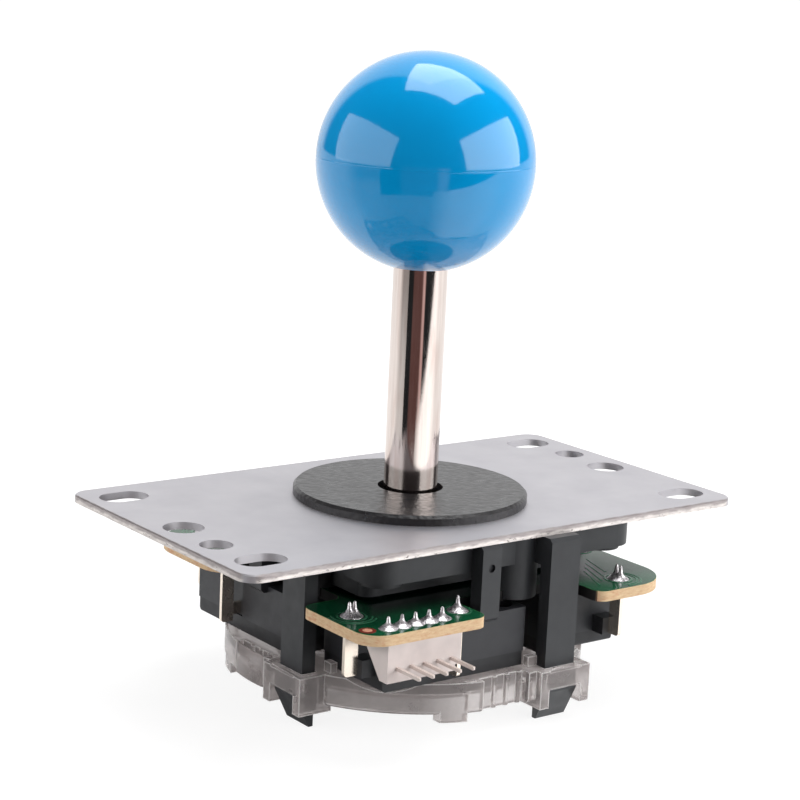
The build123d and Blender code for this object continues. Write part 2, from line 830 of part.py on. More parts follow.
# Cut that dips the wall's top edge between two switches
with BuildPart() as gate_scallop:
    with BuildSketch(Plane.XZ.offset(gate_r - scallop_reach)):
        with Locations((0, gate_top_z + scallop_r - scallop_depth)):
            Circle(scallop_r)
    extrude(amount=2 * scallop_reach)

# Gate housing: ring that holds the switches up, with the plate's seat in the middle
with BuildPart() as gate_housing:
    with BuildSketch(Plane.XY.offset(gate_top_z)):
        Circle(gate_r)
        Circle(gate_ring_d / 2, mode=Mode.SUBTRACT)
    extrude(amount=-gate_floor)
    with BuildSketch(Plane.XY.offset(gate_top_z)):
        Circle(gate_r)
        Circle(gate_r - gate_wall, mode=Mode.SUBTRACT)
        Circle(gate_ring_d / 2 + gate_ring_wall)
        Circle(gate_ring_d / 2, mode=Mode.SUBTRACT)
    extrude(amount=-gate_height)
    bottom_circles = gate_housing.edges().filter_by(GeomType.CIRCLE).group_by(Axis.Z)[0]
    fillet(bottom_circles.sort_by(SortBy.RADIUS)[-1], gate_round)
    with BuildSketch(Plane.XY.offset(gate_bottom_z)):
        Circle(gate_ring_d / 2 + 0.5)
        Circle(gate_plate_d / 2 - gate_ledge, mode=Mode.SUBTRACT)
    extrude(amount=gate_ledge_thick)
    with BuildSketch(Plane.XY.offset(gate_top_z)):
        with PolarLocations(0, 4):
            with Locations((setback_left_x, -gate_r + setback_depth)):
                Rectangle(
                    setback_right_x - setback_left_x, 2 * setback_depth, align=(Align.MIN, Align.MAX)
                )
    extrude(amount=-gate_height, mode=Mode.SUBTRACT)
    with BuildSketch(Plane.XY.offset(gate_top_z)):
        with PolarLocations(0, 4):
            with Locations((setback_left_x - gate_wall, -gate_r + setback_depth)):
                Rectangle(
                    setback_right_x - setback_left_x + gate_wall,
                    gate_wall,
                    align=(Align.MIN, Align.MIN),
                )
            with Locations((flute_x, -gate_r + setback_depth)):
                with GridLocations(flute_pitch, 0, 3, 1):
                    Circle(flute_d / 2)
    extrude(amount=-gate_height)
    with PolarLocations(0, 4, start_angle=scallop_turn):
        add(gate_scallop.part, mode=Mode.SUBTRACT)
    with PolarLocations(0, 4):
        add(gate_side.part)
    with BuildSketch(Plane.XY.offset(gate_top_z)):
        with PolarLocations(0, 4):
            with Locations((leg_x, leg_face_y - leg_gap)):
                Rectangle(
                    leg_width + 2 * leg_gap,
                    leg_thick + 2 * leg_gap,
                    align=(Align.CENTER, Align.MIN),
                )
    extrude(amount=-ear_cheek_height, mode=Mode.SUBTRACT)
write(gate_housing, "gate_housing")

# Gate plate: disc with the square hole that limits the lever, and a rim under the switches
with BuildPart() as gate_plate:
    with BuildSketch(Plane.XY.offset(gate_plate_bottom_z)):
        Circle(gate_plate_d / 2)
        RectangleRounded(gate_hole, gate_hole, gate_hole_corner, mode=Mode.SUBTRACT)
    extrude(amount=gate_plate_thick)
    with BuildSketch(Plane.XY.offset(gate_plate_bottom_z)):
        Circle(gate_plate_d / 2)
        Circle(gate_plate_d / 2 - gate_plate_rim, mode=Mode.SUBTRACT)
    extrude(amount=gate_top_z - gate_plate_bottom_z)
write(gate_plate, "gate_plate")

# Spring retainer: ring between the housing's boss and the spring
with BuildPart() as spring_retainer:
    with BuildSketch(Plane.XY.offset(retainer_bottom_z)):
        Circle(retainer_outer_d / 2)
        Circle(retainer_inner_d / 2, mode=Mode.SUBTRACT)
    extrude(amount=retainer_thick)
write(spring_retainer, "spring_retainer")

# Centring spring: ground flat at both ends, between the retainer and the actuator's pocket
spring_length = retainer_bottom_z - pocket_floor_z
with BuildPart() as centering_spring:
    with BuildLine(Plane.XY.offset(pocket_floor_z)):
        coil = Helix(spring_length / spring_turns, spring_length, spring_d / 2)
    with BuildSketch(Plane(origin=coil @ 0, z_dir=coil % 0)):
        Circle(wire_d / 2)
    sweep(path=coil, is_frenet=True)
    with BuildSketch(Plane.XY.offset(pocket_floor_z)):
        Circle(spring_d)
    extrude(amount=spring_length, mode=Mode.INTERSECT)
write(centering_spring, "centering_spring")

# Actuator: slides on the shaft's neck, presses the plungers and meets the gate plate
actuator_r = actuator_d / 2
stem_r = stem_d / 2
with BuildPart() as actuator:
    with BuildSketch(Plane.XZ):
        with BuildLine():
            Polyline(
                (neck_r + running_fit, stem_bottom_z),
                (stem_r - 0.4, stem_bottom_z),
                (stem_r, stem_bottom_z + 0.4),
                (stem_r, actuator_step_z - 0.6),
                (actuator_r - 0.6, actuator_step_z),
                (actuator_r, actuator_step_z + 0.6),
                (actuator_r, actuator_top_z),
                (pocket_outer_d / 2, actuator_top_z),
                (pocket_outer_d / 2, pocket_floor_z),
                (pocket_inner_d / 2, pocket_floor_z),
                (pocket_inner_d / 2, actuator_top_z),
                (neck_r + running_fit, actuator_top_z),
                close=True,
            )
        make_face()
    revolve(axis=Axis.Z)
write(actuator, "actuator")

# Washer and clip that hold the actuator up against the spring
with BuildPart() as shaft_washer:
    with BuildSketch(Plane.XY.offset(shaft_washer_bottom_z)):
        Circle(shaft_washer_d / 2)
        Circle(neck_r + running_fit, mode=Mode.SUBTRACT)
    extrude(amount=shaft_washer_thick)
write(shaft_washer, "shaft_washer")

with BuildPart() as e_clip:
    with BuildSketch(Plane.XY.offset(clip_bottom_z)):
        Circle(clip_d / 2)
        Circle(neck_r + 0.4, mode=Mode.SUBTRACT)
        with PolarLocations(groove_r, 3, start_angle=90):
            Rectangle(neck_r + 0.6 - groove_r, 1.8, align=(Align.MIN, Align.CENTER))
        with Locations((0, -clip_d / 2)):
            Rectangle(clip_groove_d, clip_d / 2, mode=Mode.SUBTRACT)
        Circle(groove_r, mode=Mode.SUBTRACT)
    extrude(amount=clip_thick)
write(e_clip, "e_clip")
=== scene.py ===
from math import cos, exp, pi, radians, sin, sqrt, tan

import bpy
from mathutils import Matrix, Vector, noise


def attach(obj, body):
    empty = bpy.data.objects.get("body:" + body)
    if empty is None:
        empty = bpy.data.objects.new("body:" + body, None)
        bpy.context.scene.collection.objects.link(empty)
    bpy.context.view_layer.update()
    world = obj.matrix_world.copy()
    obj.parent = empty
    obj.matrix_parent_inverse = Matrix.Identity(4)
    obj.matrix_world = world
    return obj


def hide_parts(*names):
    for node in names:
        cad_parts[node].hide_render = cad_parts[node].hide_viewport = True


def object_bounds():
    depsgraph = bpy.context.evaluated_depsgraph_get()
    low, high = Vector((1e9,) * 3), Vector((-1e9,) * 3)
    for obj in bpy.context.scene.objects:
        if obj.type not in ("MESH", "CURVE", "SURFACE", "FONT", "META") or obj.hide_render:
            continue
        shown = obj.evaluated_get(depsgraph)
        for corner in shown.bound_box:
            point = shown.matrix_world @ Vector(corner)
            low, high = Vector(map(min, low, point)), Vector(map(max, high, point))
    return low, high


MM = 0.001
SIDES = ("front", "right", "back", "left")
PLATE_SIZE = (0.097, 0.053)

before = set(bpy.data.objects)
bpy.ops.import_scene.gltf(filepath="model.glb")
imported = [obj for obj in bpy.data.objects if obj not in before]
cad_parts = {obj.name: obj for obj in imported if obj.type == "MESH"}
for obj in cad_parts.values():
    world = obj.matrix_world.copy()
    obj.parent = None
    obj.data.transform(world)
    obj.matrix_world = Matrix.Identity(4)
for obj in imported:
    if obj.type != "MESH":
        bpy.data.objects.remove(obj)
cad_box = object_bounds()


# Node helpers


class Nodes:
    """A node tree, with short calls for the nodes that the finishes and the world share."""

    def __init__(self, tree):
        self.tree = tree
        self.coordinates = tree.nodes.new("ShaderNodeTexCoord")

    def node(self, kind, inputs=None, **settings):
        """Add a node; an input given as a socket is linked, any other value is set."""
        made = self.tree.nodes.new(kind)
        for name, value in settings.items():
            setattr(made, name, value)
        for name, value in (inputs or {}).items():
            if isinstance(value, bpy.types.NodeSocket):
                self.tree.links.new(value, made.inputs[name])
            else:
                made.inputs[name].default_value = value
        return made

    def spread(self, value, low, high, from_low=0.3, from_high=0.7):
        """Map a value from one range to another, held at the ends."""
        inputs = {
            "Value": value,
            "From Min": from_low,
            "From Max": from_high,
            "To Min": low,
            "To Max": high,
        }
        return self.node("ShaderNodeMapRange", inputs).outputs["Result"]

    def math(self, operation, a, b=0.0):
        return self.node("ShaderNodeMath", {0: a, 1: b}, operation=operation).outputs[0]

    def dot(self, a, b):
        """The dot product of two vectors."""
        made = self.node("ShaderNodeVectorMath", {0: a, 1: b}, operation="DOT_PRODUCT")
        return made.outputs["Value"]

    def mix(self, factor, a, b):
        """Mix two colours by a factor."""
        made = self.node("ShaderNodeMix", {0: factor, 6: a, 7: b}, data_type="RGBA")
        return made.outputs[2]


class Graph(Nodes):
    """A material's node tree, with its textures and shaders."""

    def __init__(self, name):
        self.material = bpy.data.materials.new(name)
        self.material.use_nodes = True
        self.material.node_tree.nodes.clear()
        super().__init__(self.material.node_tree)
        self.output = self.tree.nodes.new("ShaderNodeOutputMaterial")

    def axes(self):
        """The X, Y and Z parts of the object coordinates."""
        parts = self.node("ShaderNodeSeparateXYZ", {"Vector": self.coordinates.outputs["Object"]})
        return parts.outputs

    def place(self, stretch=(1, 1, 1)):
        """Object coordinates, stretched for a grain that runs one way."""
        place = self.coordinates.outputs["Object"]
        if stretch == (1, 1, 1):
            return place
        return self.node("ShaderNodeMapping", {"Vector": place, "Scale": stretch}).outputs["Vector"]

    def noise(self, size_mm, detail=2.0, rough=0.5, stretch=(1, 1, 1)):
        """Noise whose features are about size_mm across, as a 0 to 1 value."""
        inputs = {
            "Vector": self.place(stretch),
            "Scale": 1 / (size_mm * MM),
            "Detail": detail,
            "Roughness": rough,
        }
        return self.node("ShaderNodeTexNoise", inputs).outputs["Fac"]

    def bump(self, height, depth_mm, strength=1.0, normal=None):
        """A normal bent by a height, on top of another normal if one is given."""
        inputs = {"Height": height, "Distance": depth_mm * MM, "Strength": strength}
        if normal is not None:
            inputs["Normal"] = normal
        return self.node("ShaderNodeBump", inputs).outputs["Normal"]

    def diffuse(self, color):
        return self.node("ShaderNodeBsdfDiffuse", {"Color": color}).outputs["BSDF"]

    def blend(self, factor, a, b):
        """Mix two shaders by a factor."""
        return self.node("ShaderNodeMixShader", {0: factor, 1: a, 2: b}).outputs["Shader"]

    def surface(self, shader):
        """Put a shader on the material's output."""
        self.tree.links.new(shader, self.output.inputs["Surface"])

    def principled(self, **inputs):
        """Put a Principled shader on the output; its inputs are named with _ for a space."""
        named = {key.replace("_", " "): value for key, value in inputs.items()}
        self.surface(self.node("ShaderNodeBsdfPrincipled", named).outputs["BSDF"])


def rgb(red, green, blue):
    """A colour given as it looks on screen, 0 to 255, in the linear values that nodes take."""

    def linear(level):
        level /= 255
        return level / 12.92 if level <= 0.04045 else ((level + 0.055) / 1.055) ** 2.4

    return (linear(red), linear(green), linear(blue), 1)


def shade(color, factor):
    """A colour made darker or lighter by a factor."""
    return tuple(channel * factor for channel in color[:3]) + (1,)


# Finishes

BALL_SEAM = 0.0548
METAL_FOG, METAL_DEPTH = 0.06, 0.004
PLASTIC_FOG = 0.12
MILKY_SHARE = 0.36
EDGE_HIGHLIGHT_SHARE = 0.85


def ball_finish():
    """Polished blue plastic with a faint parting line round the middle."""
    g = Graph("ball_blue")
    tone = g.mix(g.spread(g.noise(14), 0, 1), rgb(0, 160, 230), rgb(0, 166, 236))
    from_seam = g.math("ABSOLUTE", g.math("SUBTRACT", g.axes()["Z"], BALL_SEAM))
    seam = g.spread(from_seam, 1, 0, 0.00005, 0.00016)
    wave = g.bump(g.noise(9, 1), 0.015)
    g.principled(
        Base_Color=tone,
        Roughness=g.spread(g.noise(3, 4), 0.07, 0.1),
        IOR=1.5,
        Normal=g.bump(seam, 0.03, 0.6, wave),
        Coat_Weight=0.3,
        Coat_Roughness=0.07,
    )
    return g.material


def metal_finish(name, color, rough, grain_mm=0.3, metallic=1.0):
    """Bare or plated metal with a fine grain and uneven gloss."""
    g = Graph(name)
    tone = g.mix(g.spread(g.noise(6, 3), 0, 1), shade(color, 0.94), color)
    g.principled(
        Base_Color=tone,
        Metallic=metallic,
        Roughness=g.spread(g.noise(2.5, 4), rough, rough + METAL_FOG),
        Normal=g.bump(g.noise(grain_mm, 3, 0.6), METAL_DEPTH),
    )
    return g.material


def solder_finish():
    """Bright solder with grey streaks down its slopes and dark patches strewn at random."""
    g = Graph("solder_bright")
    streaks = g.spread(g.noise(0.5, 3, 0.7, (1.4, 1.4, 0.5)), 0, 1, 0.35, 0.65)
    tone = g.mix(streaks, rgb(150, 146, 150), rgb(246, 242, 244))
    dark_patches = g.spread(g.noise(0.8, 4, 0.7), 0, 0.8, 0.6, 0.72)
    g.principled(
        Base_Color=g.mix(dark_patches, tone, rgb(58, 52, 50)),
        Metallic=0.85,
        Roughness=g.spread(g.noise(0.6, 3), 0.2, 0.42),
        Normal=g.bump(g.noise(0.35, 3, 0.6), 0.05),
    )
    return g.material


def shaft_finish():
    """Bright nickel with faint streaks along the bar and a soft brown stain in places."""
    g = Graph("shaft_nickel")
    streaks = g.spread(g.noise(0.9, 3, 0.6, (1, 1, 0.05)), 0, 1)
    tone = g.mix(streaks, rgb(206, 194, 188), rgb(224, 214, 208))
    stain = g.spread(g.noise(2.2, 3, 0.6, (1, 1, 0.15)), 0, 0.35, 0.5, 0.8)
    g.principled(
        Base_Color=g.mix(stain, tone, rgb(170, 120, 104)),
        Metallic=1.0,
        Roughness=g.spread(g.noise(2, 4, 0.6, (1, 1, 0.2)), 0.05, 0.1),
        Normal=g.bump(g.noise(0.25, 3, 0.6, (1, 1, 6)), 0.0015),
    )
    return g.material


def plate_finish():
    """Satin zinc plate: cloudy on its faces, rolled over and darker where it was sheared, partly as
    bare metal and partly as painted shade.
    """
    g = Graph("plate_zinc")
    parts = g.axes()
    to_end = g.math("SUBTRACT", PLATE_SIZE[0] / 2, g.math("ABSOLUTE", parts["X"]))
    to_side = g.math("SUBTRACT", PLATE_SIZE[1] / 2, g.math("ABSOLUTE", parts["Y"]))
    from_edge = g.math("MINIMUM", to_end, to_side)
    wander = g.spread(g.noise(1.5, 4), -0.00012, 0.00012)
    rolled = g.spread(g.math("ADD", from_edge, wander), 1, 0, 0.0001, 0.0004)
    depth = g.math("MULTIPLY", parts["Z"], -1)
    wavy = g.spread(g.noise(3, 3, 0.6), -0.00022, 0.00022)
    torn = g.spread(g.math("ADD", depth, wavy), 0, 1, 0.0005, 0.0008)
    cloud = g.mix(g.spread(g.noise(9, 4), 0, 1), rgb(181, 179, 184), rgb(191, 189, 193))
    speck = g.spread(g.noise(0.8, 2, 0.8), 0, 0.5, 0.7, 0.85)
    face = g.mix(speck, cloud, rgb(150, 146, 148))
    scraped = g.spread(g.noise(0.9, 4, 0.6, (0.4, 0.4, 3)), 0, 1)
    # Painted shade: the smooth band at the top of the sheared edge is darker partly as bare metal
    # and partly to stand for the dark line of the rolled edge
    smooth = g.mix(scraped, rgb(150, 143, 143), rgb(176, 169, 168))
    nicks = g.spread(g.noise(0.7, 3, 0.7, (0.6, 0.6, 1.6)), 0, 0.85, 0.6, 0.68)
    torn_tone = g.mix(scraped, rgb(188, 182, 180), rgb(232, 226, 222))
    rough = g.mix(nicks, torn_tone, rgb(96, 88, 86))
    sheared = g.mix(torn, smooth, rough)
    g.principled(
        Base_Color=g.mix(rolled, face, sheared),
        Metallic=0.85,
        Roughness=g.spread(g.noise(2.5, 4), 0.43, 0.47),
        Normal=g.bump(g.noise(0.3, 3, 0.6), 0.006),
    )
    return g.material


def plastic_finish(name, color, rough, grain_mm=0.35, depth_mm=0.006):
    """Moulded plastic with a fine spark-eroded grain."""
    g = Graph(name)
    tone = g.mix(g.spread(g.noise(5, 3), 0, 1), shade(color, 0.88), shade(color, 1.1))
    g.principled(
        Base_Color=tone,
        Roughness=g.spread(g.noise(1.8, 4), rough, rough + PLASTIC_FOG),
        IOR=1.42,
        Normal=g.bump(g.noise(grain_mm, 3, 0.6), depth_mm),
    )
    return g.material


def washer_finish():
    """Black plastic with a wrinkled leather-like grain."""
    g = Graph("washer_black")
    cells = g.node(
        "ShaderNodeTexVoronoi", {"Vector": g.place(), "Scale": 1 / (0.8 * MM)}, feature="SMOOTH_F1"
    )
    wrinkles = g.bump(g.noise(1.1, 4, 0.65), 0.09)
    normal = g.bump(cells.outputs["Distance"], 0.07, 1.0, wrinkles)
    g.principled(
        Base_Color=rgb(36, 35, 37),
        Roughness=g.spread(g.noise(1.2, 4), 0.27, 0.38),
        IOR=1.6,
        Normal=normal,
    )
    return g.material


def near_edge(g, radius):
    """1 close to an edge of the solid and 0 on its open faces."""
    rounded = g.node("ShaderNodeBevel", {"Radius": radius}, samples=6).outputs["Normal"]
    agree = g.dot(rounded, g.node("ShaderNodeNewGeometry").outputs["Normal"])
    return g.spread(agree, 1, 0, 0.8, 0.97)


def board_finish():
    """Green solder mask with a paler rim, darker towards the middle as painted shade; tan laminate
    on outer edges, inner ones painted dark as shade.
    """
    g = Graph("board_green")
    parts = g.axes()
    reach = g.math("MAXIMUM", g.math("ABSOLUTE", parts["X"]), g.math("ABSOLUTE", parts["Y"]))
    normal = g.node("ShaderNodeNewGeometry").outputs["True Normal"]
    upward = g.node("ShaderNodeSeparateXYZ", {"Vector": normal}).outputs["Z"]
    on_face = g.math("GREATER_THAN", g.math("ABSOLUTE", upward), 0.7)
    mask = g.mix(g.spread(g.noise(4, 3), 0, 1), rgb(12, 66, 42), rgb(22, 90, 58))
    # Painted shade: the mask turns near black towards the middle, where the board lies under the
    # housing
    mask = g.mix(g.spread(reach, 0, 1, 0.021, 0.025), rgb(5, 22, 16), mask)
    mask = g.mix(near_edge(g, 0.0003), mask, rgb(58, 142, 72))
    fibres = g.spread(g.noise(1.1, 4, 0.7, (1, 1, 4)), 0, 1)
    laminate = g.mix(fibres, rgb(220, 180, 138), rgb(242, 216, 176))
    scorched = g.spread(g.noise(2.4, 3, 0.7, (1, 1, 2)), 0, 0.7, 0.55, 0.75)
    edge = g.mix(scorched, laminate, rgb(214, 138, 106))
    # Painted shade: laminate edges facing inward, in the notches and under the housing, are painted
    # near black instead of tan
    outward = g.spread(g.dot(normal, g.place()), 0, 1, 0.001, 0.005)
    outer = g.math("MULTIPLY", outward, g.spread(reach, 0, 1, 0.0245, 0.026))
    edge = g.mix(outer, rgb(20, 18, 17), edge)
    g.principled(
        Base_Color=g.mix(on_face, edge, mask),
        Roughness=g.spread(on_face, 0.75, 0.16, 0, 1),
        IOR=1.42,
        Normal=g.bump(g.noise(0.8, 3), 0.01),
    )
    return g.material


def clear_finish():
    """Cloudy clear plastic: see-through with a milky grey body and edges painted white as a
    highlight.
    """
    g = Graph("gate_clear")
    clear = g.node(
        "ShaderNodeBsdfPrincipled",
        {
            "Base Color": rgb(218, 214, 213),
            "Roughness": g.spread(g.noise(2, 3), 0.04, 0.14),
            "IOR": 1.45,
            "Transmission Weight": 1.0,
            "Normal": g.bump(g.noise(2.5, 2), 0.02),
        },
    )
    body = g.mix(g.spread(g.noise(4, 3), 0, 1), rgb(186, 179, 178), rgb(216, 209, 207))
    through = g.node("ShaderNodeBsdfTranslucent", {"Color": body}).outputs["BSDF"]
    milky = g.blend(0.5, g.diffuse(body), through)
    seen = g.blend(MILKY_SHARE, clear.outputs["BSDF"], milky)
    # Painted highlight: edges of the solid are mixed towards white
    edge_highlight_mask = g.math("MULTIPLY", near_edge(g, 0.00042), EDGE_HIGHLIGHT_SHARE)
    with_edge_highlight = g.blend(edge_highlight_mask, seen, g.diffuse(rgb(255, 253, 252)))
    shadow = g.node("ShaderNodeBsdfTransparent", {"Color": (0.7, 0.7, 0.7, 1)}).outputs["BSDF"]
    path = g.node("ShaderNodeLightPath")
    g.surface(g.blend(path.outputs["Is Shadow Ray"], with_edge_highlight, shadow))
    return g.material


finishes = {
    "ball": ball_finish(),
    "washer": washer_finish(),
    "board": board_finish(),
    "clear": clear_finish(),
    "nickel": shaft_finish(),
    "zinc": plate_finish(),
    "steel": metal_finish("screw_steel", rgb(170, 170, 172), 0.3),
    "wire": metal_finish("spring_wire", rgb(160, 160, 162), 0.25),
    "brass": metal_finish("insert_brass", rgb(205, 170, 100), 0.3),
    "tin": metal_finish("terminal_tin", rgb(242, 230, 216), 0.22, 0.5, metallic=0.9),
    "pin": metal_finish("pin_tin", rgb(232, 220, 214), 0.36, 0.4, metallic=0.6),
    "solder": solder_finish(),
    "black": plastic_finish("housing_black", rgb(49, 51, 54), 0.4),
    "switch": plastic_finish("switch_black", rgb(47, 48, 52), 0.38),
    "cover": plastic_finish("cover_black", rgb(38, 39, 42), 0.42),
    "white": plastic_finish("header_white", rgb(226, 214, 210), 0.5, 0.5, 0.004),
    "ivory": plastic_finish("pivot_ivory", rgb(224, 220, 208), 0.4),
    "copper_dark": plastic_finish("via_dark", rgb(120, 44, 32), 0.35),
    "copper_pale": plastic_finish("via_pale", rgb(222, 160, 132), 0.3),
    # Tracks and rings are paler green, partly as copper under the mask and partly as painted
    # highlight
    "track": plastic_finish("track_green_and_highlight", rgb(48, 104, 76), 0.18),
    "red": plastic_finish("plunger_red", rgb(150, 30, 26), 0.35),
}
node_finish = {
    "ball_top": "ball",
    "ball_insert": "brass",
    "shaft": "nickel",
    "dust_washer": "washer",
    "mounting_plate": "zinc",
    "housing": "black",
    "plate_screws": "steel",
    "pivot": "ivory",
    "spring_retainer": "black",
    "centering_spring": "wire",
    "actuator": "ivory",
    "shaft_washer": "steel",
    "e_clip": "wire",
    "circuit_board": "board",
    "connector_header": "white",
    "header_pins": "pin",
    "solder_joints": "solder",
    "gate_housing": "clear",
    "gate_plate": "clear",
}
for side in SIDES:
    node_finish[f"switch_case_{side}"] = "switch"
    node_finish[f"switch_cover_{side}"] = "cover"
    node_finish[f"switch_plunger_{side}"] = "red"
    node_finish[f"common_terminal_{side}"] = "tin"
    node_finish[f"contact_terminal_{side}"] = "tin"
for name, finish in node_finish.items():
    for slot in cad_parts[name].material_slots:
        slot.material = finishes[finish]


# Details that the solids leave out, in millimetres and degrees

BOARD_TOP = -10.2
SUNK = BOARD_TOP - 0.02
CONTACT_JOINT = (-11.2, -27.7)
COMMON_JOINT = (-27.0, -22.3)
HEADER_JOINTS = [(-20.7 + 2.5 * place, -29.7) for place in (-2, -1, 0, 1, 2)]
TERMINAL_HALF = 0.48

RING_TOP, RING_DOME = BOARD_TOP + 0.05, 0.03
JOINT_RINGS = ((CONTACT_JOINT, 1.9, 2.3), (COMMON_JOINT, 1.95, 2.4))

VIA = (-29.0, -29.1)
VIA_RIM, VIA_RIM_DOME = (0.5, 1.3), 0.02
VIA_LAND, VIA_LAND_DOME = (0.02, 0.75), 0.04
VIA_LAND_TOP = BOARD_TOP + 0.08

TRACK_TOP, TRACK_WIDTH = BOARD_TOP + 0.06, 0.42
TRACK_ARCS = ((3.1, 150, 330), (3.7, 165, 315))
ROW_COUNT = 4
ROW_START, ROW_STEP = (-16.2, -25.2), (-1.72, 1.7)
ROW_LENGTH, ROW_RISE, ROW_FAN = 6.9, 2.1, 0.25

WALL_CHAMFER, WALL_CROWN, WALL_END = 0.3, 0.06, 0.05

HEADER_HEAP = (1.5, 1.85)
CONTACT_HEAP = (1.75, 2.4)
COMMON_HEAP = (1.8, 2.35)
HEAP_RINGS, HEAP_STEPS = 26, 40
SKIRT, CONE, CONE_REACH, PIN_REACH = 0.14, 0.6, 0.62, 0.36
RAGGED, FOLDED = 0.09, 0.05


def sheet_piece(name, shape, material, body):
    """A mesh piece that rides on a body, from points in millimetres and faces."""
    points, faces = shape
    mesh = bpy.data.meshes.new(name)
    mesh.from_pydata([Vector(point) * MM for point in points], [], faces)
    mesh.materials.append(material)
    mesh.validate()
    piece = bpy.data.objects.new(name, mesh)
    bpy.context.scene.collection.objects.link(piece)
    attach(piece, body)
    return piece


def turned(point, quarter):
    """A point of the board's plane, turned by quarter turns as the sides follow each other."""
    x, y = point
    for _ in range(quarter):
        x, y = -y, x
    return (x, y)


def washer_mesh(centre, inner, outer, high, dome, steps=28):
    """Points and faces of a flat ring on the board; dome lifts its middle line."""
    x, y = centre
    section = [
        (inner, SUNK),
        (inner, high),
        ((inner + outer) / 2, high + dome),
        (outer, high),
        (outer, SUNK),
    ]
    points = []
    for radius, z in section:
        for step in range(steps):
            angle = 2 * pi * step / steps
            points.append((x + radius * cos(angle), y + radius * sin(angle), z))
    faces = []
    for ring in range(len(section)):
        here = ring * steps
        above = (ring + 1) % len(section) * steps
        for step in range(steps):
            after = (step + 1) % steps
            faces.append((here + step, here + after, above + after, above + step))
    return points, faces


def trace_mesh(path):
    """Points and faces of a track with a low roof section, swept along a path on the board."""
    section = ((-0.5, SUNK), (-0.3, TRACK_TOP), (0.3, TRACK_TOP), (0.5, SUNK))
    corners = len(section)
    points = []
    for index, spot in enumerate(path):
        before = Vector(path[max(index - 1, 0)])
        after = Vector(path[min(index + 1, len(path) - 1)])
        ahead = (after - before).normalized()
        side = Vector((-ahead.y, ahead.x))
        for across, z in section:
            corner = Vector(spot) + side * TRACK_WIDTH * across
            points.append((corner.x, corner.y, z))
    faces = []
    for index in range(len(path) - 1):
        here, ahead = index * corners, (index + 1) * corners
        for edge in range(corners):
            after = (edge + 1) % corners
            faces.append((here + edge, here + after, ahead + after, ahead + edge))
    last = (len(path) - 1) * corners
    faces += [(0, 1, 2, 3), (last + 3, last + 2, last + 1, last)]
    return points, faces


def arc(centre, radius, start, end, steps=14):
    """Points along an arc."""
    angles = [radians(start + (end - start) * step / steps) for step in range(steps + 1)]
    return [(centre[0] + radius * cos(angle), centre[1] + radius * sin(angle)) for angle in angles]


def wall_mesh(radius, thick, start, end, low, high, steps=24):
    """Points and faces of a curved wall between two angles, thinning out towards its ends."""
    section = (
        (0, low + WALL_CHAMFER),
        (0.25, low),
        (1, low),
        (1, high),
        (0.25, high),
        (0, high - WALL_CHAMFER),
    )
    corners = len(section)
    points = []
    for step in range(steps + 1):
        along = step / steps
        angle = radians(start + (end - start) * along)
        fade = min(1, 8 * along, 8 * (1 - along))
        depth = (thick + WALL_CROWN * fade) * max(fade, WALL_END)
        for away, z in section:
            reach = radius - thick + away * depth
            points.append((reach * cos(angle), reach * sin(angle), z))
    faces = []
    for step in range(steps):
        here, ahead = step * corners, (step + 1) * corners
        for edge in range(corners):
            after = (edge + 1) % corners
            faces.append((here + edge, ahead + edge, ahead + after, here + after))
    last = steps * corners
    faces += [tuple(range(corners)), tuple(last + corners - 1 - edge for edge in range(corners))]
    return points, faces


def heap_level(here, height, tips):
    """How high the solder stands at a point: a skirt and a cone round each tip, and the tip."""
    level = 0
    for tip in tips:
        away = (here - Vector((tip[0], tip[1], 0))).length
        slope = height * (SKIRT + CONE * exp(-((away / CONE_REACH) ** 1.5)))
        pin = height * sqrt(max(1 - (away / PIN_REACH) ** 4, 0))
        level = max(level, slope, pin)
    return level


def solder_heap(spot, reach, height, tips):
    """Points and faces of solder drawn up round the tips of a pin, hollow-sided and uneven."""
    x, y = spot
    points = [(x, y, SUNK)]
    for ring in range(HEAP_RINGS + 1):
        for step in range(HEAP_STEPS):
            angle = 2 * pi * step / HEAP_STEPS
            here = Vector((cos(angle), sin(angle), 0))
            ragged = 1 + RAGGED * noise.noise(here * 1.3 + Vector((x, y, 0)))
            here *= reach * ragged * ring / HEAP_RINGS
            fold = FOLDED * noise.noise(here * 2.4 + Vector((y, x, 0)))
            level = (heap_level(here, height, tips) + fold) * (1 - (ring / HEAP_RINGS) ** 5)
            points.append((x + here.x, y + here.y, SUNK + level))
    faces = []
    for ring in range(HEAP_RINGS):
        low, high = 1 + ring * HEAP_STEPS, 1 + (ring + 1) * HEAP_STEPS
        for step in range(HEAP_STEPS):
            after = (step + 1) % HEAP_STEPS
            faces.append((low + step, high + step, high + after, low + after))
    last = 1 + HEAP_RINGS * HEAP_STEPS
    faces += [(0, last + (step + 1) % HEAP_STEPS, last + step) for step in range(HEAP_STEPS)]
    return points, faces


def merge(parts):
    """Join lists of points and faces into one."""
    points, faces = [], []
    for more_points, more_faces in parts:
        shift = len(points)
        points += more_points
        faces += [tuple(corner + shift for corner in face) for face in more_faces]
    return points, faces


